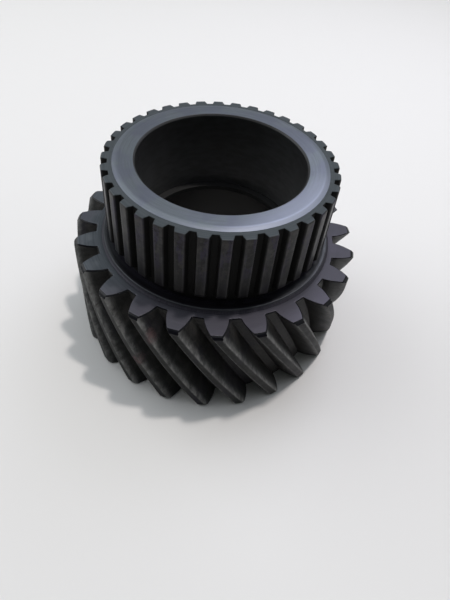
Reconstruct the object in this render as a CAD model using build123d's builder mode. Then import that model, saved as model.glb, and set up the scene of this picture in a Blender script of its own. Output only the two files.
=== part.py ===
from build123d import *
from math import acos, atan, cos, degrees, pi, radians, sin, tan
import os

# Helical gear with a splined clutch hub, millimetres.
# Origin at the centre of the lower face, +Z along the bore towards the splined end.

# ---- driving dimensions ----
overall_height = 99.5
bore_radius = 40.0              # outer ring seat of an 80 mm bearing
bore_chamfer = 0.8

# helical toothing of the rim
gear_teeth = 23
gear_normal_module = 5.0
gear_normal_pressure_angle = 20.0
gear_helix_angle = 30.0         # left hand
gear_profile_shift = 0.2        # in normal modules
gear_dedendum = 1.15            # in normal modules
gear_face_width = 57.5
gear_end_chamfer = 1.4
gear_root_fillet = 0.4
gear_top_tooth_angle = 7.2      # where a tooth stands on the upper face

# straight spline of the clutch hub
spline_teeth = 36
spline_module = 3.0
spline_pressure_angle = 20.0
spline_tooth_thickness = 5.4    # at the pitch circle
spline_tip_radius = 55.5
spline_root_radius = 52.45
spline_root_fillet = 0.35
spline_end_chamfer = 0.5
spline_step = 0.7               # the spline stops just below the hub's ground face
spline_length = 34.8

# hub sleeve, pressed through rim and spline sleeve
hub_radius = 50.4
hub_lead_in_width = 2.1
hub_foot_chamfer = 1.0

# foot of the spline sleeve, welded to the rim's upper face
collar_radius = 57.7
collar_height = 1.9
collar_chamfer = 0.3
collar_rim_width = 1.3          # flat rim round the collar's dished top
collar_dish = 1.1               # how deep the dish is at the undercut
undercut_radius = 52.1
undercut_chamfer = 1.2
weld_leg = 1.1

# internal retaining ring between the two bearings
ring_thickness = 2.5
ring_top = 58.3
ring_outer_radius = 41.6
ring_inner_radius = 36.0
ring_gap_half_angle = 11.0      # from the ring's open side to its first lug
ring_gap_direction = -90.0
lug_radius = 3.1
lug_centre_radius = 35.4
lug_hole_radius = 1.5
groove_radius = 41.75
groove_width = 2.65

# ---- worked out from them ----
transverse_module = gear_normal_module / cos(radians(gear_helix_angle))
transverse_pressure_angle = degrees(
    atan(tan(radians(gear_normal_pressure_angle)) / cos(radians(gear_helix_angle)))
)
gear_pitch_radius = transverse_module * gear_teeth / 2
gear_tip_radius = gear_pitch_radius + gear_normal_module * (1 + gear_profile_shift)
gear_root_radius = gear_pitch_radius - gear_normal_module * (gear_dedendum - gear_profile_shift)
gear_tooth_thickness = transverse_module * (
    pi / 2 + 2 * gear_profile_shift * tan(radians(gear_normal_pressure_angle))
)
gear_helix_turn = degrees(
    gear_face_width * tan(radians(gear_helix_angle)) / gear_pitch_radius
)
spline_pitch_radius = spline_module * spline_teeth / 2
spline_top = overall_height - spline_step
spline_bottom = spline_top - spline_length
collar_top = gear_face_width + collar_height
groove_bottom = ring_top - ring_thickness

overcut = 2.0                   # how far a tooth gap runs past the tip circle
flank_points = 6


def involute(angle):
    """The involute function of a pressure angle in radians."""
    return tan(angle) - angle


def polar(radius, angle):
    """A point at a radius and an angle in radians."""
    return (radius * cos(angle), radius * sin(angle))


def tooth_gap(teeth, pitch_radius, pressure_angle, thickness, root, tip, fillet_size):
    """Outline of one gap between involute teeth, centred on +X."""
    base = pitch_radius * cos(radians(pressure_angle))

    def half_angle(radius):
        tooth = thickness / (2 * pitch_radius) + involute(radians(pressure_angle))
        at_radius = involute(acos(base / max(radius, base)))
        return pi / teeth - tooth + at_radius

    foot = root + fillet_size
    steps = [foot + (tip + overcut - foot) * n / flank_points for n in range(flank_points + 1)]
    flank = [polar(radius, half_angle(radius)) for radius in steps]
    mirrored = [(x, -y) for x, y in flank]
    root_angle = half_angle(foot) - fillet_size / root
    with BuildSketch() as gap:
        with BuildLine():
            upper = Spline(*flank)
            lower = Spline(*mirrored)
            TangentArc(flank[0], polar(root, root_angle), tangent=-(upper % 0))
            TangentArc(mirrored[0], polar(root, -root_angle), tangent=-(lower % 0))
            ThreePointArc(polar(root, root_angle), (root, 0), polar(root, -root_angle))
            ThreePointArc(flank[-1], (tip + overcut, 0), mirrored[-1])
        make_face()
    return gap.sketch


os.makedirs("parts", exist_ok=True)

# ---- helical gear rim ----
gear_gap = tooth_gap(
    gear_teeth, gear_pitch_radius, transverse_pressure_angle,
    gear_tooth_thickness, gear_root_radius, gear_tip_radius, gear_root_fillet,
)
# The lower face's gaps stand half a tooth off its teeth, a helix turn on from the upper face.
lower_gap_angle = gear_top_tooth_angle + gear_helix_turn + 180 / gear_teeth

with BuildSketch() as gear_section:
    Circle(gear_tip_radius + overcut / 2)
    with PolarLocations(0, gear_teeth, start_angle=lower_gap_angle):
        add(gear_gap, mode=Mode.SUBTRACT)

twisted_teeth = Solid.extrude_linear_with_rotation(
    gear_section.face(), (0, 0, 0), (0, 0, gear_face_width), -gear_helix_turn
)

with BuildPart() as helical_gear_rim:
    with BuildSketch(Plane.XZ):
        with BuildLine():
            Polyline(
                (hub_radius, 0),
                (gear_tip_radius - gear_end_chamfer, 0),
                (gear_tip_radius, gear_end_chamfer),
                (gear_tip_radius, gear_face_width - gear_end_chamfer),
                (gear_tip_radius - gear_end_chamfer, gear_face_width),
                (hub_radius, gear_face_width),
                close=True,
            )
        make_face()
    revolve(axis=Axis.Z)
    add(twisted_teeth, mode=Mode.INTERSECT)
helical_gear_rim.part.label = "helical_gear_rim"

# ---- spline sleeve ----
spline_gap = tooth_gap(
    spline_teeth, spline_pitch_radius, spline_pressure_angle,
    spline_tooth_thickness, spline_root_radius, spline_tip_radius, spline_root_fillet,
)

with BuildPart() as spline_sleeve:
    with BuildSketch(Plane.XZ):
        with BuildLine():
            Polyline(
                (hub_radius, gear_face_width),
                (collar_radius, gear_face_width),
                (collar_radius, collar_top - collar_chamfer),
                (collar_radius - collar_chamfer, collar_top),
                (collar_radius - collar_chamfer - collar_rim_width, collar_top),
                (undercut_radius, collar_top - collar_dish),
                (undercut_radius, spline_bottom - undercut_chamfer),
                (spline_tip_radius, spline_bottom + undercut_chamfer / 2),
                (spline_tip_radius, spline_top - spline_end_chamfer),
                (spline_tip_radius - spline_end_chamfer, spline_top),
                (hub_radius, spline_top),
                close=True,
            )
        make_face()
    revolve(axis=Axis.Z)
    with BuildSketch(Plane.XY.offset(collar_top)):
        with PolarLocations(0, spline_teeth):
            add(spline_gap)
    extrude(amount=overall_height - collar_top, mode=Mode.SUBTRACT)
spline_sleeve.part.label = "spline_sleeve"

# ---- hub sleeve with the bearing bore ----
with BuildPart() as hub_sleeve:
    with BuildSketch(Plane.XZ):
        with BuildLine():
            Polyline(
                (bore_radius + bore_chamfer, 0),
                (hub_radius - hub_foot_chamfer, 0),
                (hub_radius, hub_foot_chamfer),
                (hub_radius, spline_top),
                (hub_radius - hub_lead_in_width, overall_height),
                (bore_radius + bore_chamfer, overall_height),
                (bore_radius, overall_height - bore_chamfer),
                (bore_radius, groove_bottom + groove_width),
                (groove_radius, groove_bottom + groove_width),
                (groove_radius, groove_bottom),
                (bore_radius, groove_bottom),
                (bore_radius, bore_chamfer),
                close=True,
            )
        make_face()
    revolve(axis=Axis.Z)
hub_sleeve.part.label = "hub_sleeve"

# ---- weld seam round the collar's foot ----
with BuildPart() as collar_weld_seam:
    with BuildSketch(Plane.XZ):
        with BuildLine():
            Polyline(
                (collar_radius, gear_face_width),
                (collar_radius + weld_leg, gear_face_width),
                (collar_radius, gear_face_width + weld_leg),
                close=True,
            )
        make_face()
    revolve(axis=Axis.Z)
collar_weld_seam.part.label = "collar_weld_seam"

# ---- bearing retaining ring, open at the front, with two lugs for pliers ----
lug_angles = [ring_gap_direction - ring_gap_half_angle, ring_gap_direction + ring_gap_half_angle]
lug_centres = [polar(lug_centre_radius, radians(angle)) for angle in lug_angles]

with BuildPart() as bearing_retaining_ring:
    with BuildSketch(Plane.XY.offset(groove_bottom)):
        Circle(ring_outer_radius)
        Circle(ring_inner_radius, mode=Mode.SUBTRACT)
        with BuildLine():
            Polyline(
                (0, 0),
                polar(2 * ring_outer_radius, radians(lug_angles[0])),
                polar(2 * ring_outer_radius, radians(lug_angles[1])),
                close=True,
            )
        make_face(mode=Mode.SUBTRACT)
        with Locations(*lug_centres):
            Circle(lug_radius)
            Circle(lug_hole_radius, mode=Mode.SUBTRACT)
    extrude(amount=ring_thickness)
bearing_retaining_ring.part.label = "bearing_retaining_ring"

for piece in (
    helical_gear_rim,
    spline_sleeve,
    hub_sleeve,
    collar_weld_seam,
    bearing_retaining_ring,
):
    export_step(piece.part, f"parts/{piece.part.label}.step")
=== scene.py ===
"""Looks of the helical gear with a splined clutch hub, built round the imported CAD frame."""

import math

import bmesh
import bpy
import numpy as np
from mathutils import Matrix, Vector


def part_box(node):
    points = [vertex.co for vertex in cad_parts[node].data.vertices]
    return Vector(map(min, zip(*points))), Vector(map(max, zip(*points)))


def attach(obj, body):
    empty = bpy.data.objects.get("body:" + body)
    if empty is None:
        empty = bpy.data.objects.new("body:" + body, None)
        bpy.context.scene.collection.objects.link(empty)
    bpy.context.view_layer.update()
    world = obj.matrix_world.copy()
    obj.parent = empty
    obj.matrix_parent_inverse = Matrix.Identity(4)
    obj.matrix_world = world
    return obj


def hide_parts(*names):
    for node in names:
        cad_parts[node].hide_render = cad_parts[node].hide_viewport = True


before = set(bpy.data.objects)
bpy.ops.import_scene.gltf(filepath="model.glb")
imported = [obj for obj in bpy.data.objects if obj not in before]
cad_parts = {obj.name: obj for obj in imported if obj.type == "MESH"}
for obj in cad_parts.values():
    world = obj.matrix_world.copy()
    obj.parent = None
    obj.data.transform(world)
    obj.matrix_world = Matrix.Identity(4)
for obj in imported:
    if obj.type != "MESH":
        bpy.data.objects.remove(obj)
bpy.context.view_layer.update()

MM = 0.001                      # lengths are millimetres until a mesh is made

# ---- sizes taken from the frame, in millimetres ----


def extent(node):
    """Lowest and highest corner of a CAD node, in millimetres."""
    low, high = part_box(node)
    return low / MM, high / MM


rim_low, rim_high = extent("helical_gear_rim")
sleeve_low, sleeve_high = extent("spline_sleeve")
hub_low, hub_high = extent("hub_sleeve")
ring_low, ring_high = extent("bearing_retaining_ring")
seam_low, seam_high = extent("collar_weld_seam")

gear_face = rim_high.z
gear_tip_radius = (rim_high.x - rim_low.x) / 2
hub_radius = (hub_high.x - hub_low.x) / 2
hub_top = hub_high.z
spline_top = sleeve_high.z
collar_radius = (sleeve_high.x - sleeve_low.x) / 2
weld_leg = seam_high.z - seam_low.z

# ---- toothing, as in the CAD ----
gear_teeth = 23
gear_module = 5.0
gear_pressure_angle = math.radians(20)
gear_helix_angle = math.radians(30)
gear_profile_shift = 0.2
gear_dedendum = 1.15
gear_end_chamfer = 1.4
gear_root_fillet = 0.4
gear_top_tooth_angle = math.radians(7.2)
gear_pitch_radius = gear_module / math.cos(gear_helix_angle) * gear_teeth / 2
gear_twist = math.tan(gear_helix_angle) / gear_pitch_radius

spline_teeth = 36
spline_module = 3.0
spline_pressure_angle = math.radians(20)
spline_tooth_thickness = 5.4
spline_tip_radius = 55.5
spline_root_radius = 52.45
spline_root_fillet = 0.35
spline_end_chamfer = 0.5
spline_bottom = spline_top - 34.8

# ---- the turned shapes ----
bore_radius = 40.0
bore_chamfer = 0.8
hub_lead_in_width = 2.1
hub_foot_chamfer = 1.0
groove_radius = 41.75
groove_width = 2.65
collar_height = 1.9
collar_chamfer = 0.3
collar_rim_width = 1.3
collar_dish = 1.1
collar_top = gear_face + collar_height
undercut_radius = 52.1
undercut_chamfer = 1.2

# ---- retaining ring ----
ring_outer_radius = 41.6
ring_inner_radius = 36.0
ring_gap_half_angle = math.radians(11)
ring_gap_direction = math.radians(-90)
lug_radius = 3.1
lug_centre_radius = 35.4
lug_hole_radius = 1.5

# ---- how far edges are broken ----
face_bevel = 0.5
bevel_softness = 0.06
tip_rounding = 0.35
spline_rounding = 0.25
ring_rounding = 0.2
seat_edge = 0.04                # where the spline sleeve's end meets the hub sleeve

# ---- how worn the tooth edges are: reach on the land, reach on the flank, share behind; on the gear the band is partly wear, partly a painted highlight ----
gear_wear_and_highlight = (0.3, 2.1, 0.5)
spline_wear = (0.45, 0.5, 1.0)

# ---- how finely the shapes are divided ----
land_points = 4
tip_corner_points = 3
gear_flank_points = 12
spline_flank_points = 6
fillet_points = 4
gap_floor_points = 4
bevel_rings = 4
gear_chamfer_rings = 6
gear_rings = 42
gear_bore_rings = 12
undercut_rings = 8
spline_rings = 24
lathe_segments = 288
seam_segments = 720
seam_points = 5
ring_outer_points = 180
ring_inner_points = 160
lug_points = 36
lug_hole_points = 32


# ---------------------------------------------------------------- outlines


def involute(angle):
    """The involute function of a pressure angle."""
    return math.tan(angle) - angle


def bend(start, corner, end, steps):
    """Points of a rounded corner, without its two ends."""
    start, corner, end = map(np.array, (start, corner, end))
    ts = np.linspace(0, 1, steps + 2)[1:-1, None]
    return list((1 - ts) ** 2 * start + 2 * ts * (1 - ts) * corner + ts**2 * end)


def polar(radius, angle):
    return np.array((radius * math.cos(angle), radius * math.sin(angle)))


def half_tooth(teeth, pitch, pressure, thickness, root, tip, fillet, rounding, flank_points):
    """One side of an involute tooth, from the middle of its tip to the middle of the gap."""
    base = pitch * math.cos(pressure)

    def half_angle(radius):
        at_pitch = thickness / (2 * pitch) + involute(pressure)
        return at_pitch - involute(math.acos(base / max(radius, base)))

    shoulder = tip - rounding
    foot = root + fillet
    tip_angle = half_angle(tip)
    land_angle = tip_angle - rounding / tip
    root_start = half_angle(foot) + fillet / root
    land_end, flank_start = polar(tip, land_angle), polar(shoulder, half_angle(shoulder))
    points = [polar(tip, a) for a in np.linspace(0, land_angle, land_points)]
    points += bend(land_end, polar(tip, tip_angle), flank_start, tip_corner_points)
    points += [polar(r, half_angle(r)) for r in np.linspace(shoulder, foot, flank_points)]
    foot_corner = polar(root, half_angle(foot))
    points += bend(points[-1], foot_corner, polar(root, root_start), fillet_points)
    points += [polar(root, a) for a in np.linspace(root_start, math.pi / teeth, gap_floor_points)]
    return np.array(points)


def whole_outline(half, teeth, first_angle):
    """All teeth from one half tooth, counter-clockwise, the first one centred on first_angle."""
    other = half[1:-1][::-1] * (1, -1)
    tooth = np.concatenate((other, half))
    angles = [first_angle + 2 * math.pi * n / teeth for n in range(teeth)]
    return np.concatenate([turned(tooth, angle) for angle in angles])


def edge_wear(half, teeth, tip, land_reach, flank_reach, other_side):
    """How worn each outline point is: 1 at a tip corner, less along the land and the flank.

    other_side is the share of wear on the flank that faces clockwise.
    """
    on_tip = tip - 0.1
    steps = np.linalg.norm(np.diff(half, axis=0), axis=1)
    along = np.concatenate(((0,), np.cumsum(steps)))
    corner = along[np.linalg.norm(half, axis=1) > on_tip].max()
    away = along - corner
    reach = np.where(away < 0, land_reach, flank_reach)
    wear = np.exp(-((away / reach) ** 2))
    return np.tile(np.concatenate((wear[1:-1][::-1] * other_side, wear)), teeth)


def held_within(outline, limit):
    """The outline with no point outside a radius."""
    radius = np.linalg.norm(outline, axis=1)
    return outline * (np.minimum(radius, limit) / radius)[:, None]


def drawn_in(outline, distance):
    """The outline moved into the material."""
    along = np.roll(outline, -1, axis=0) - np.roll(outline, 1, axis=0)
    along /= np.linalg.norm(along, axis=1)[:, None]
    outward = np.stack((along[:, 1], -along[:, 0]), axis=1)
    return outline - outward * distance


def turned(outline, angle):
    """The outline turned counter-clockwise about the axis."""
    c, s = math.cos(angle), math.sin(angle)
    return outline @ np.array(((c, s), (-s, c)))


def at_height(outline, z):
    return np.column_stack((outline, np.full(len(outline), z)))


def circle_under(outline, radius):
    """A circle whose points stand at the outline's angles."""
    return outline * (radius / np.linalg.norm(outline, axis=1))[:, None]


# ---------------------------------------------------------------- meshes


def smooth_object(name, mesh):
    """A smooth object whose large faces stay flat right up to their edges."""
    mesh.shade_smooth()
    piece = bpy.data.objects.new(name, mesh)
    bpy.context.scene.collection.objects.link(piece)
    piece.modifiers.new("weighted_normals", "WEIGHTED_NORMAL").weight = 100
    return piece


def closed_stack(name, rings, worn=None):
    """A ring-shaped solid from cross-sections of equal length, the last joined to the first.

    worn has a number for each point, and the materials read it.
    """
    count = len(rings[0])
    faces = []
    for n in range(len(rings)):
        here, there = n * count, (n + 1) % len(rings) * count
        for i in range(count):
            j = (i + 1) % count
            faces.append((here + i, here + j, there + j, there + i))
    mesh = bpy.data.meshes.new(name)
    mesh.from_pydata((np.concatenate(rings) * MM).tolist(), [], faces)
    if worn is not None:
        layer = mesh.attributes.new("worn", "FLOAT", "POINT")
        layer.data.foreach_set("value", worn.astype(np.float32))
    return smooth_object(name, mesh)


def rounded_profile(corners, steps=4):
    """A closed profile from (radius, height, rounding) corners."""
    most = 0.45                 # the most of a side that one corner's rounding takes
    places = [np.array(c[:2], float) for c in corners]
    out = []
    for n, corner in enumerate(places):
        rounding = corners[n][2]
        into, away = places[n - 1] - corner, places[(n + 1) % len(places)] - corner
        reach_in = min(rounding, np.linalg.norm(into) * most)
        reach_out = min(rounding, np.linalg.norm(away) * most)
        start = corner + into / np.linalg.norm(into) * reach_in
        end = corner + away / np.linalg.norm(away) * reach_out
        out += [start, *bend(start, corner, end, steps), end]
    return out


def lathe(name, profile, segments=lathe_segments):
    """Turns a closed profile, listed counter-clockwise in (radius, height), about Z."""
    angles = np.linspace(0, 2 * math.pi, segments, endpoint=False)
    unit = np.stack((np.cos(angles), np.sin(angles)), axis=1)
    rings = [at_height(unit * r, z) for r, z in profile]
    return closed_stack(name, rings)


# ---------------------------------------------------------------- pieces


def helical_rim():
    transverse = gear_module / math.cos(gear_helix_angle)
    pressure = math.atan(math.tan(gear_pressure_angle) / math.cos(gear_helix_angle))
    widening = 2 * gear_profile_shift * math.tan(gear_pressure_angle)
    thickness = transverse * (math.pi / 2 + widening)
    root = gear_pitch_radius - gear_module * (gear_dedendum - gear_profile_shift)
    half = half_tooth(
        gear_teeth, gear_pitch_radius, pressure, thickness, root, gear_tip_radius,
        gear_root_fillet, tip_rounding, gear_flank_points,
    )
    outline = whole_outline(half, gear_teeth, gear_top_tooth_angle)
    wear = edge_wear(half, gear_teeth, gear_tip_radius, *gear_wear_and_highlight)

    # (height, inset) of the bevel round an end face, then of the rest of the tips' chamfer
    soft, slight = bevel_softness, bevel_softness * 0.3
    edge = [(0, face_bevel), (slight, face_bevel - soft), (soft, face_bevel - 2 * soft)]
    slope = np.linspace(2 * soft, face_bevel - 2 * soft, bevel_rings)
    edge += [(z, face_bevel - z - soft) for z in slope]
    edge += [(face_bevel - soft, slight), (face_bevel, 0)]
    chamfer = np.linspace(face_bevel, gear_end_chamfer, gear_chamfer_rings)[1:]
    low = edge + [(z, 0) for z in chamfer]
    heights = np.linspace(gear_end_chamfer, gear_face - gear_end_chamfer, gear_rings)[1:-1]
    middle = [(z, 0) for z in heights]
    high = [(gear_face - z, inset) for z, inset in reversed(low)]
    rings = []
    for z, inset in low + middle + high:
        from_end = min(z, gear_face - z)
        limit = gear_tip_radius - max(0.0, gear_end_chamfer - from_end)
        shape = drawn_in(held_within(outline, limit), inset)
        rings.append(at_height(turned(shape, gear_twist * (gear_face - z)), z))

    # each end face runs in to a circle inside the roots, and the bore joins the two faces
    toothed = len(rings)
    first, last = rings[0][:, :2], rings[-1][:, :2]
    below_roots = 1.2
    inside_roots = root - below_roots
    rings.append(at_height(circle_under(last, inside_roots), gear_face))
    for share in np.linspace(0, 1, gear_bore_rings):
        bore = circle_under(turned(last, gear_twist * gear_face * share), hub_radius)
        rings.append(at_height(bore, gear_face * (1 - share)))
    rings.append(at_height(circle_under(first, inside_roots), 0))
    plain = np.zeros(len(wear) * (len(rings) - toothed))
    worn = np.concatenate((np.tile(wear, toothed), plain))
    return closed_stack("helical_gear_rim_mesh", rings, worn)


def splined_sleeve():
    pitch = spline_module * spline_teeth / 2
    half = half_tooth(
        spline_teeth, pitch, spline_pressure_angle, spline_tooth_thickness, spline_root_radius,
        spline_tip_radius, spline_root_fillet, spline_rounding, spline_flank_points,
    )
    outline = whole_outline(half, spline_teeth, math.pi / spline_teeth)
    wear = edge_wear(half, spline_teeth, spline_tip_radius, *spline_wear)
    none = np.zeros(len(wear))
    slope_low = spline_bottom - undercut_chamfer
    slope_high = spline_bottom + undercut_chamfer / 2
    chamfer_low = spline_top - spline_end_chamfer
    rings, worn = [], []

    def add_ring(points, z, wear_here):
        rings.append(at_height(points, z))
        worn.append(wear_here)

    collar_edge = collar_radius - collar_chamfer
    foot = [
        (hub_radius, gear_face, 0.1), (collar_radius, gear_face, 0.1),
        (collar_radius, collar_top - collar_chamfer, 0.15), (collar_edge, collar_top, 0.15),
        (collar_edge - collar_rim_width, collar_top, 0.3),
        (undercut_radius, collar_top - collar_dish, 0.4),
    ]
    for radius, z in rounded_profile(foot, 2):
        add_ring(circle_under(outline, radius), z, none)
    add_ring(circle_under(outline, undercut_radius), slope_low, none)
    for share in np.linspace(0, 1, undercut_rings):
        limit = undercut_radius + (spline_tip_radius - undercut_radius) * share
        z = slope_low + (slope_high - slope_low) * share
        add_ring(held_within(outline, limit), z, none)
    for z in np.linspace(slope_high, chamfer_low, spline_rings)[1:]:
        add_ring(outline, z, wear)
    # the chamfered ends, whose flanks draw in a little over the upper half
    end_draw_in = 0.25
    for share in (0.3, 0.6, 0.9, 1.0):
        limit = spline_tip_radius - spline_end_chamfer * share
        inset = end_draw_in * max(0.0, share - 0.5)
        z = spline_top - spline_end_chamfer * (1 - share)
        add_ring(drawn_in(held_within(outline, limit), inset), z, wear)
    below_roots = 0.4
    add_ring(circle_under(outline, spline_root_radius - below_roots), spline_top, none)
    add_ring(circle_under(outline, hub_radius + seat_edge), spline_top, none)
    add_ring(circle_under(outline, hub_radius), spline_top - seat_edge, none)
    return closed_stack("spline_sleeve_mesh", rings, np.concatenate(worn))


def bored_hub():
    groove_top = ring_low.z + groove_width
    profile = rounded_profile([
        (bore_radius + bore_chamfer, 0, 0.3), (hub_radius - hub_foot_chamfer, 0, 0.3),
        (hub_radius, hub_foot_chamfer, 0.3), (hub_radius, spline_top, 0.03),
        (hub_radius - hub_lead_in_width, hub_top, 1.0), (bore_radius + bore_chamfer, hub_top, 0.15),
        (bore_radius, hub_top - bore_chamfer, 0.3), (bore_radius, groove_top, 0.15),
        (groove_radius, groove_top, 0.1), (groove_radius, ring_low.z, 0.1),
        (bore_radius, ring_low.z, 0.15), (bore_radius, bore_chamfer, 0.3),
    ])
    return lathe("hub_sleeve_mesh", profile)


def weld_seam():
    """A thin concave bead round the collar's foot."""
    hollow = weld_leg * 0.35
    foot, out, up, middle = (
        np.array((collar_radius + outwards, gear_face + upwards))
        for outwards, upwards in ((0, 0), (weld_leg, 0), (0, weld_leg), (hollow, hollow))
    )
    profile = [foot, out, *bend(out, middle, up, seam_points), up]
    return lathe("collar_weld_seam_mesh", profile, seam_segments)


def retaining_ring():
    """The open spring ring with its two plier lugs, its edges rounded by a curve's bevel."""
    thickness = ring_high.z - ring_low.z
    start = ring_gap_direction + ring_gap_half_angle
    end = ring_gap_direction - ring_gap_half_angle + 2 * math.pi
    # where a lug's circle leaves the ring's inner edge, seen from the ring's centre and the lug's
    square_sum = ring_inner_radius**2 + lug_centre_radius**2 - lug_radius**2
    meet = math.acos(square_sum / (2 * ring_inner_radius * lug_centre_radius))
    across = math.atan2(
        ring_inner_radius * math.sin(meet), ring_inner_radius * math.cos(meet) - lug_centre_radius
    )

    def arc(centre, radius, first, last, steps):
        return [centre + polar(radius, a) for a in np.linspace(first, last, steps)]

    middle, whole = np.zeros(2), 2 * math.pi
    lugs = [polar(lug_centre_radius, end), polar(lug_centre_radius, start)]
    outline = arc(middle, ring_outer_radius, start, end, ring_outer_points)
    outline += arc(lugs[0], lug_radius, end, end + whole - across, lug_points)
    outline += arc(middle, ring_inner_radius, end - meet, start + meet, ring_inner_points)[1:-1]
    outline += arc(lugs[1], lug_radius, start + across, start + whole, lug_points)
    holes = [arc(lug, lug_hole_radius, 0, whole, lug_hole_points + 1)[:-1] for lug in lugs]

    curve = bpy.data.curves.new("ring_outline", "CURVE")
    curve.dimensions = "2D"
    curve.fill_mode = "BOTH"
    curve.extrude = thickness / 2 - ring_rounding
    curve.bevel_depth = ring_rounding
    curve.bevel_resolution = 3
    curve.offset = -ring_rounding
    for line in (outline, *holes):
        spline = curve.splines.new("POLY")
        spline.points.add(len(line) - 1)
        for point, (x, y) in zip(spline.points, line):
            point.co = (x, y, 0, 1)
        spline.use_cyclic_u = True
    shape = bpy.data.objects.new("ring_outline", curve)
    mesh = bpy.data.meshes.new_from_object(shape)
    bpy.data.objects.remove(shape)
    bpy.data.curves.remove(curve)
    bm = bmesh.new()
    bm.from_mesh(mesh)
    same_place = 1e-4
    bmesh.ops.remove_doubles(bm, verts=bm.verts, dist=same_place)
    bmesh.ops.translate(bm, verts=bm.verts, vec=(0, 0, ring_low.z + thickness / 2))
    bmesh.ops.scale(bm, verts=bm.verts, vec=(MM, MM, MM))
    bmesh.ops.recalc_face_normals(bm, faces=bm.faces)
    bm.to_mesh(mesh)
    bm.free()
    mesh.name = "bearing_retaining_ring_mesh"
    return smooth_object("bearing_retaining_ring_mesh", mesh)


# ---------------------------------------------------------------- materials

sideways = (1, 1, 0)            # leaves out a vector's part along the axis
usual = (0.35, 0.65)            # the range that most of a noise's values lie in


class Nodes:
    """A short way to write a node material. Lengths in it are millimetres."""

    def __init__(self, name):
        self.material = bpy.data.materials.new(name)
        self.material.use_nodes = True
        self.tree = self.material.node_tree
        self.shader = self.tree.nodes["Principled BSDF"]
        metres = self.add("ShaderNodeTexCoord").outputs["Object"]
        self.place = self.vector("MULTIPLY", metres, (1 / MM,) * 3)
        parts = self.add("ShaderNodeSeparateXYZ", {0: self.place})
        self.x, self.y, self.height = parts.outputs
        self.radius = self.length(self.vector("MULTIPLY", self.place, sideways))

    def add(self, kind, inputs=None, **settings):
        node = self.tree.nodes.new(kind)
        for key, value in settings.items():
            setattr(node, key, value)
        for key, value in (inputs or {}).items():
            self.put(node.inputs[key], value)
        return node

    def put(self, socket, value):
        if isinstance(value, bpy.types.NodeSocket):
            self.tree.links.new(value, socket)
        else:
            socket.default_value = value

    def set(self, **sockets):
        """Sets the shader's sockets; an underscore in a name stands for a space."""
        for key, value in sockets.items():
            self.put(self.shader.inputs[key.replace("_", " ")], value)

    def sum(self, operation, a, b, clamp=False):
        settings = {"operation": operation, "use_clamp": clamp}
        return self.add("ShaderNodeMath", {0: a, 1: b}, **settings).outputs[0]

    def vector(self, operation, *values):
        inputs = dict(enumerate(values))
        return self.add("ShaderNodeVectorMath", inputs, operation=operation).outputs[0]

    def length(self, vector):
        node = self.add("ShaderNodeVectorMath", {0: vector}, operation="LENGTH")
        return node.outputs["Value"]

    def ramp(self, value, low, high, at_low=0.0, at_high=1.0):
        """at_low below low, at_high above high, and a smooth step between."""
        inputs = {
            "Value": value, "From Min": low, "From Max": high, "To Min": at_low, "To Max": at_high,
        }
        node = self.add("ShaderNodeMapRange", inputs, interpolation_type="SMOOTHSTEP")
        return node.outputs["Result"]

    def mix(self, share, a, b):
        """Colour a where share is 0 and colour b where it is 1."""
        node = self.add("ShaderNodeMix", {"Factor": share}, data_type="RGBA")
        for socket, colour in ((node.inputs[6], a), (node.inputs[7], b)):
            self.put(socket, colour if isinstance(colour, bpy.types.NodeSocket) else (*colour, 1))
        return node.outputs[2]

    def over(self, under, colour, value, low, high, most=1.0):
        """A colour laid over another: not at all where value is at low, by most where at high."""
        return self.mix(self.ramp(value, low, high, 0, most), under, colour)

    def blend(self, share, a, b):
        """Number a where share is 0 and number b where it is 1."""
        return self.add("ShaderNodeMix", {"Factor": share, "A": a, "B": b}).outputs[0]

    def noise(self, vector, scale=1.0, detail=4.0, roughness=0.55, distortion=0.0):
        inputs = {
            "Vector": vector, "Scale": scale, "Detail": detail, "Roughness": roughness,
            "Distortion": distortion,
        }
        return self.add("ShaderNodeTexNoise", inputs).outputs["Fac"]

    def stretched(self, around, out, up, twist=0.0, shift=0.0):
        """Coordinates for marks: how finely they vary round the axis, outwards and up it.

        twist turns them with the height, in radians per millimetre, so that they can follow
        helical teeth. shift gives each pattern its own part of the noise.
        """
        place = self.place
        if twist:
            turn = {"Vector": place, "Angle": self.sum("MULTIPLY", self.height, twist)}
            place = self.add("ShaderNodeVectorRotate", turn, rotation_type="Z_AXIS").outputs[0]
        unit = self.vector("NORMALIZE", self.vector("MULTIPLY", place, sideways))
        wheel = self.vector("MULTIPLY", unit, (around, around, 0))
        outwards = self.sum("MULTIPLY", self.radius, out)
        upwards = self.sum("MULTIPLY", self.height, up)
        along = self.sum("ADD", self.sum("ADD", outwards, upwards), shift)
        return self.vector("ADD", wheel, self.add("ShaderNodeCombineXYZ", {"Z": along}).outputs[0])

    def near(self, middle, reach):
        """1 at a place and 0 beyond its reach, which has a length for each axis."""
        away = self.vector("SUBTRACT", self.place, middle)
        distance = self.length(self.vector("DIVIDE", away, reach))
        return self.ramp(distance, 0.35, 1.0, 1, 0)

    def attribute(self, name):
        return self.add("ShaderNodeAttribute", attribute_name=name).outputs["Fac"]

    def bump(self, height, strength, distance):
        inputs = {"Height": height, "Strength": strength, "Distance": distance * MM}
        self.set(Normal=self.add("ShaderNodeBump", inputs).outputs[0])


# faint red paint on two teeth: a smear's middle and how far it reaches, in millimetres
paint_marks = [
    ((-25.0, -66.4, 47.8), (3.4, 3.6, 6.4)),
    ((-31.9, -63.4, 25.6), (4.2, 4.4, 4.6)),
]


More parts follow.
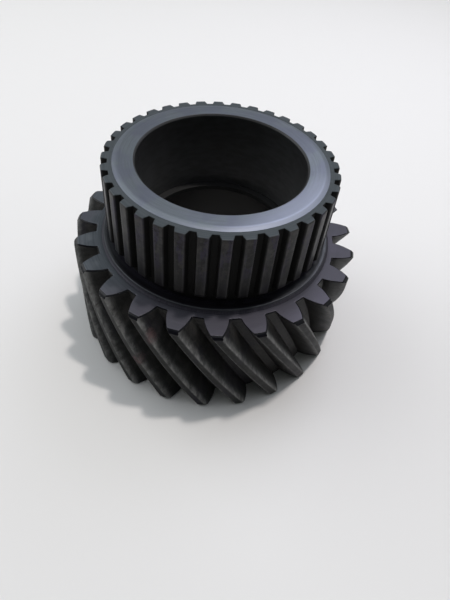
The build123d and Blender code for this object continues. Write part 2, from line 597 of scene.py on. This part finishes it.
def gear_steel():
    """Blackened steel: turned end faces painted darker to the right and lighter at the front, dark
    bevels, oily flanks painted lighter deep in the gaps and rubbed bright at the tips, partly a
    painted highlight.
    """
    turned_dark, turned_light = (0.071, 0.081, 0.094), (0.094, 0.105, 0.120)
    painted_shade_right, violet_face = (0.050, 0.048, 0.058), (0.062, 0.056, 0.076)
    painted_light_front = (0.090, 0.085, 0.106)
    oily, drawn, thin_oil = (0.006, 0.006, 0.006), (0.018, 0.018, 0.018), (0.027, 0.027, 0.027)
    painted_fill_dark, painted_fill_light = (0.020, 0.019, 0.018), (0.046, 0.044, 0.042)
    violet_oil, dry_oil = (0.017, 0.014, 0.026), (0.034, 0.033, 0.031)
    bare, red_paint, black = (0.26, 0.26, 0.255), (0.135, 0.066, 0.072), (0.004, 0.004, 0.006)

    n = Nodes("gear_steel")
    from_end = n.sum("MINIMUM", n.sum("SUBTRACT", gear_face, n.height), n.height)
    depth = n.sum("SUBTRACT", gear_tip_radius, n.radius)
    on_face = n.ramp(from_end, 0.004, 0.03, 1, 0)
    past_chamfer = n.sum("SUBTRACT", n.sum("ADD", from_end, depth), gear_end_chamfer)
    in_chamfer = n.ramp(past_chamfer, 0.05, 0.25, 1, 0)
    on_bevel = n.sum("MAXIMUM", n.ramp(from_end, 0.4, 0.65, 1, 0), in_chamfer)

    rings = n.noise(n.stretched(2, 1.6, 0, shift=5), detail=5)
    cloud = n.noise(n.place, 0.045, 3)
    face = n.over(turned_dark, turned_light, rings, *usual)
    # the end face is painted darker towards the right, as painted shade, and lighter at the front,
    # as painted light
    face = n.over(face, painted_shade_right, n.x, -32, 55)
    face = n.over(face, violet_face, cloud, 0.45, 0.65, 0.5)
    face = n.over(face, painted_light_front, n.y, -35, -60, 0.7)

    # marks that run along the teeth, patches and specks across them, and a fine mottle
    following = n.stretched(38, 0.6, 0.02, twist=gear_twist)
    streaks = n.noise(following, detail=6, roughness=0.62)
    following = n.stretched(11, 0.12, 0.2, twist=gear_twist, shift=40)
    patches = n.noise(following, detail=6, distortion=0.8)
    following = n.stretched(24, 0.5, 0.22, twist=gear_twist, shift=70)
    specks = n.noise(following, detail=4, roughness=0.6, distortion=0.5)
    mottle = n.noise(n.place, 0.42, 6, 0.66)
    flank = n.over(oily, drawn, streaks, 0.38, 0.66)
    flank = n.over(flank, thin_oil, patches, 0.5, 0.68, 0.6)
    # painted light: the flanks are painted lighter deeper in the gaps, against the shade there
    painted_gap_fill = n.over(painted_fill_dark, painted_fill_light, patches, 0.4, 0.66)
    flank = n.over(flank, painted_gap_fill, depth, 2.5, 9)
    flank = n.over(flank, violet_oil, cloud, 0.5, 0.66, 0.4)
    flank = n.over(flank, dry_oil, mottle, 0.5, 0.66, 0.5)
    flank = n.over(flank, oily, mottle, 0.46, 0.34, 0.5)
    # the bright rub along the tip corners is partly real wear and partly a painted highlight on the
    # flank that faces the light
    rub = n.sum("MULTIPLY", n.attribute("worn"), n.ramp(patches, 0.34, 0.56, 0.4, 1.0))
    broken = n.ramp(n.sum("ADD", specks, mottle), 0.86, 1.16, 0.5, 1.0)
    rub = n.sum("MULTIPLY", rub, broken, clamp=True)
    flank = n.mix(rub, flank, bare)
    for middle, reach in paint_marks:
        smear = n.sum("MULTIPLY", n.near(middle, reach), n.ramp(mottle, 0.38, 0.6, 0.1, 0.55))
        flank = n.mix(smear, flank, red_paint)
    flank = n.mix(on_bevel, flank, black)

    metal = n.blend(on_bevel, n.ramp(rub, 0, 1, 0.1, 0.5), 0.0)
    rough = n.blend(on_bevel, n.ramp(patches, *usual, 0.5, 0.62), 0.24)
    n.set(
        Base_Color=n.mix(on_face, flank, face),
        Metallic=n.blend(on_face, metal, 0.55),
        Roughness=n.blend(on_face, rough, n.ramp(rings, 0.3, 0.7, 0.36, 0.46)),
        Specular_IOR_Level=0.22,
    )
    grain = n.sum("ADD", streaks, n.noise(n.place, 1.6, 3))
    n.bump(n.blend(on_face, grain, rings), 0.25, 0.04)
    return n.material


def spline_steel():
    """The same blackened steel, with marks up and down the spline, painted shade in its gaps, on
    the collar and at the lands' foot, and painted light at the lands' top.
    """
    end_dark, end_light = (0.053, 0.062, 0.068), (0.068, 0.078, 0.085)
    collar_dark, collar_light = (0.052, 0.055, 0.062), (0.066, 0.069, 0.078)
    painted_collar_shade, collar_side = (0.008, 0.007, 0.011), (0.022, 0.020, 0.031)
    land_dark, land_light = (0.009, 0.009, 0.0095), (0.027, 0.027, 0.028)
    painted_light_top, violet, dry = (0.032, 0.029, 0.027), (0.027, 0.022, 0.045), (0.042, 0.038, 0.036)
    oily, shaded_foot = (0.008, 0.007, 0.008), (0.004, 0.0035, 0.004)
    bare, gap = (0.12, 0.12, 0.12), (0.0032, 0.0030, 0.0026)

    n = Nodes("spline_steel")
    on_end = n.ramp(n.height, spline_top - 0.3, spline_top - 0.05)
    on_collar = n.ramp(n.height, collar_top + 0.4, collar_top - 0.02)
    below_tip = n.sum("SUBTRACT", spline_tip_radius, n.radius)
    in_gap = n.ramp(below_tip, 0.25, 1.1)

    rings = n.noise(n.stretched(2, 1.8, 0, shift=9), detail=5)
    end = n.over(end_dark, end_light, rings, *usual)
    collar = n.over(collar_dark, collar_light, rings, *usual)
    # painted shade lies on the collar's top, most of all at its front left, where the hub's shadow
    # falls
    painted_shade_share = n.sum("MULTIPLY", n.ramp(n.y, -22, -42, 0.3, 0.95), n.ramp(n.x, 40, 24))
    inside_edge = n.ramp(n.radius, collar_radius - 0.9, collar_radius - 0.2, 1, 0)
    collar = n.mix(n.sum("MULTIPLY", painted_shade_share, inside_edge), collar, painted_collar_shade)
    # the collar's lower side is painted darker, as painted shade below its lit edge
    collar = n.over(collar, collar_side, n.height, collar_top - 0.35, collar_top - 0.8)

    draw = n.noise(n.stretched(42, 0.2, 0.03, shift=3), detail=6, roughness=0.6)
    patches = n.noise(n.stretched(12, 0.1, 0.09, shift=60), detail=4)
    mottle = n.noise(n.place, 0.36, 6, 0.64)
    land = n.over(land_dark, land_light, draw, 0.38, 0.66)
    # the lands are painted lighter towards the top, as painted light, and darker at the foot, as
    # painted shade
    land = n.over(land, painted_light_top, n.height, spline_top - 9, spline_top - 1, 0.5)
    land = n.over(land, violet, patches, 0.48, 0.6, 0.8)
    land = n.over(land, dry, mottle, 0.5, 0.62, 0.7)
    land = n.over(land, oily, mottle, 0.48, 0.38, 0.75)
    land = n.over(land, shaded_foot, n.height, spline_top - 8, spline_bottom, 0.85)
    where = n.ramp(patches, 0.35, 0.6, 0.35, 1.0)
    rub = n.sum("MULTIPLY", n.attribute("worn"), where, clamp=True)
    land = n.mix(n.sum("MULTIPLY", rub, 0.2), land, bare)
    # painted shade: the tooth sides down in the gaps are painted near-black
    side = n.mix(in_gap, land, gap)

    end_metal, collar_metal = n.sum("MULTIPLY", on_end, 0.6), n.sum("MULTIPLY", on_collar, 0.5)
    n.set(
        Base_Color=n.mix(on_collar, n.mix(on_end, side, end), collar),
        Metallic=n.sum("MAXIMUM", n.sum("MAXIMUM", end_metal, collar_metal), 0.2),
        Roughness=n.blend(in_gap, n.ramp(patches, *usual, 0.38, 0.5), 0.75),
        Specular_IOR_Level=0.25,
    )
    n.bump(n.sum("ADD", draw, n.noise(n.place, 1.8, 3)), 0.3, 0.04)
    return n.material


def ground_steel():
    """Bright ground end face with fine concentric lines and a painted highlight at its front right,
    and a bore black with old oil, painted lighter further down as painted fill light.
    """
    ground_dark, ground_light = (0.124, 0.141, 0.159), (0.153, 0.173, 0.195)
    arc_light, cloud_blue = (0.182, 0.192, 0.235), (0.122, 0.130, 0.176)
    painted_highlight, lead_in = (0.205, 0.220, 0.270), (0.110, 0.122, 0.142)
    bore_dark, bore_light = (0.017, 0.017, 0.017), (0.024, 0.024, 0.026)
    bore_fill_dark, bore_fill_light = (0.066, 0.066, 0.066), (0.086, 0.086, 0.088)
    lower_bore = (0.030, 0.030, 0.030)

    n = Nodes("ground_steel")
    lead_in_start = hub_radius - hub_lead_in_width
    in_bore = n.ramp(n.radius, bore_radius + 0.7, bore_radius + 1.1, 1, 0)
    on_lead_in = n.ramp(n.radius, lead_in_start - 0.3, lead_in_start + 0.3)

    lines = n.noise(n.stretched(2.5, 3.2, 0.4), detail=6, roughness=0.6)
    arcs = n.noise(n.stretched(2.2, 0.55, 0, shift=30), detail=3)
    cloud = n.noise(n.place, 0.06, 3)
    ground = n.over(ground_dark, ground_light, lines, *usual)
    ground = n.over(ground, arc_light, arcs, 0.45, 0.62, 0.55)
    ground = n.over(ground, cloud_blue, cloud, 0.42, 0.6, 0.6)
    # a painted highlight at the front right, which is the side with the largest x - y
    ground = n.over(ground, painted_highlight, n.sum("SUBTRACT", n.x, n.y), 47, 65, 0.8)
    ground = n.mix(n.sum("MULTIPLY", on_lead_in, 0.3), ground, lead_in)

    hone = n.noise(n.stretched(6, 0, 0.5, shift=12), detail=5)
    bore = n.over(bore_dark, bore_light, hone, *usual)
    # painted light: the bore is painted lighter further down, most of all just above the retaining
    # ring and a little less below it, against the shade inside
    painted_bore_fill = n.over(bore_fill_dark, bore_fill_light, hone, *usual)
    bore = n.over(bore, painted_bore_fill, n.height, hub_top, ring_high.z)
    bore = n.over(bore, lower_bore, n.height, ring_high.z, ring_low.z)
    rough = n.blend(in_bore, n.ramp(arcs, *usual, 0.42, 0.34), 0.42)
    n.set(
        Base_Color=n.mix(in_bore, ground, bore),
        Metallic=n.ramp(in_bore, 0, 1, 0.8, 0.0),
        Roughness=n.blend(on_lead_in, rough, 0.52),
        Specular_IOR_Level=0.3,
    )
    n.bump(n.blend(in_bore, lines, hone), 0.25, 0.03)
    return n.material


def weld_steel():
    """A dull grey bead with small ripples along it."""
    bead_dark, bead_light = (0.024, 0.022, 0.033), (0.038, 0.035, 0.048)
    n = Nodes("weld_steel")
    ripple = n.noise(n.stretched(90, 1.0, 1.0), detail=3)
    n.set(
        Base_Color=n.over(bead_dark, bead_light, ripple, *usual),
        Metallic=0.5,
        Roughness=n.ramp(ripple, 0.3, 0.7, 0.42, 0.55),
    )
    n.bump(ripple, 0.5, 0.08)
    return n.material


def spring_steel():
    """Phosphated spring steel, nearly black."""
    phosphate_dark, phosphate_light = (0.020, 0.020, 0.020), (0.030, 0.030, 0.030)
    n = Nodes("spring_steel")
    grain = n.noise(n.place, 2.2, 5)
    patches = n.noise(n.place, 0.12, 3)
    colour = n.over(phosphate_dark, phosphate_light, grain, *usual)
    n.set(
        Base_Color=n.over(colour, phosphate_dark, patches, 0.45, 0.65, 0.5),
        Metallic=0.0,
        Roughness=n.ramp(grain, 0.3, 0.7, 0.6, 0.75),
        Specular_IOR_Level=0.15,
    )
    n.bump(grain, 0.3, 0.02)
    return n.material


# ---------------------------------------------------------------- the object


def finish_piece(piece, node, material):
    piece.data.materials.append(material)
    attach(piece, "root")
    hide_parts(node)


finish_piece(helical_rim(), "helical_gear_rim", gear_steel())
finish_piece(splined_sleeve(), "spline_sleeve", spline_steel())
finish_piece(bored_hub(), "hub_sleeve", ground_steel())
finish_piece(weld_seam(), "collar_weld_seam", weld_steel())
finish_piece(retaining_ring(), "bearing_retaining_ring", spring_steel())

# ---------------------------------------------------------------- floor, camera and light


def pale_floor():
    half = 3.0                  # metres
    corners = [(-half, -half, 0), (half, -half, 0), (half, half, 0), (-half, half, 0)]
    mesh = bpy.data.meshes.new("floor")
    mesh.from_pydata(corners, [], [(0, 1, 2, 3)])
    floor = bpy.data.objects.new("floor", mesh)
    bpy.context.scene.collection.objects.link(floor)
    n = Nodes("floor")
    n.set(Base_Color=(0.72, 0.71, 0.70, 1), Roughness=0.75)
    mesh.materials.append(n.material)


def set_camera():
    """The photo's camera: above the front of the gear, looking down at it, slightly rolled."""
    place = Vector((0, -203.6, 230.6)) * MM
    heading = math.radians(2.5)
    tilt_down = math.radians(48.31)
    roll = math.radians(6.8)
    level = Vector((math.cos(heading), -math.sin(heading), 0))
    ahead = Vector((math.sin(heading), math.cos(heading), 0))
    forward = ahead * math.cos(tilt_down) - Vector((0, 0, math.sin(tilt_down)))
    upright = level.cross(forward)
    right = level * math.cos(roll) + upright * math.sin(roll)
    up = upright * math.cos(roll) - level * math.sin(roll)
    turn = Matrix((right, up, -forward)).transposed().to_4x4()
    focal_length, sensor_width, nearest = 30.29, 36, 0.01
    lens = bpy.data.cameras.new("camera")
    lens.lens = focal_length
    lens.sensor_width = sensor_width
    lens.clip_start = nearest
    camera = bpy.data.objects.new("camera", lens)
    camera.matrix_world = Matrix.Translation(place) @ turn
    bpy.context.scene.collection.objects.link(camera)
    bpy.context.scene.camera = camera


def soft_light(name, towards, distance, size, strength, colour):
    """A square lamp aimed at the object. Its distance and its size are in metres.

    strength is how bright it makes a white surface that faces it.
    """
    aim_height = 0.05
    direction = Vector(towards).normalized()
    data = bpy.data.lights.new(name, "AREA")
    data.energy = strength * (math.pi * distance) ** 2
    data.size = size
    data.color = colour
    lamp = bpy.data.objects.new(name, data)
    lamp.location = direction * distance + Vector((0, 0, aim_height))
    lamp.rotation_euler = (-direction).to_track_quat("-Z", "Y").to_euler()
    bpy.context.scene.collection.objects.link(lamp)


def set_world():
    """A soft room that is darker on the side that the object is looked at from."""
    dark_side = Vector((0, -0.66, 0.75)).normalized()
    limits = {"From Min": 0.35, "From Max": 0.9, "To Min": 0.38, "To Max": 0.05}
    world = bpy.data.worlds.new("world")
    world.use_nodes = True
    tree = world.node_tree
    background = tree.nodes["Background"]
    background.inputs["Color"].default_value = (0.93, 1.0, 0.99, 1)
    towards = tree.nodes.new("ShaderNodeTexCoord").outputs["Generated"]
    facing = tree.nodes.new("ShaderNodeVectorMath")
    facing.operation = "DOT_PRODUCT"
    facing.inputs[1].default_value = dark_side
    tree.links.new(towards, facing.inputs[0])
    shade = tree.nodes.new("ShaderNodeMapRange")
    shade.interpolation_type = "SMOOTHSTEP"
    for socket, value in limits.items():
        shade.inputs[socket].default_value = value
    tree.links.new(facing.outputs["Value"], shade.inputs["Value"])
    tree.links.new(shade.outputs["Result"], background.inputs["Strength"])
    bpy.context.scene.world = world


def set_light():
    """One hard light nearly overhead and soft ones round it."""
    soft_light("ceiling", (8, 6, 41), 1.9, 0.12, 0.42, (1.0, 0.94, 0.90))
    soft_light("window", (0.42, 0.60, 0.80), 0.8, 0.45, 0.25, (0.83, 0.85, 1.0))
    soft_light("skylight", (0.1, 0.1, 1.0), 0.9, 0.9, 0.31, (0.85, 0.90, 1.0))
    soft_light("left_wall", (-1.0, 0.35, 0.8), 1.3, 1.2, 0.50, (0.95, 0.98, 1.0))
    soft_light("right_wall", (1.0, 0.1, 0.5), 1.6, 1.6, 0.05, (1.0, 0.99, 0.97))
    bpy.context.scene.view_settings.view_transform = "Standard"


pale_floor()
set_camera()
set_world()
set_light()
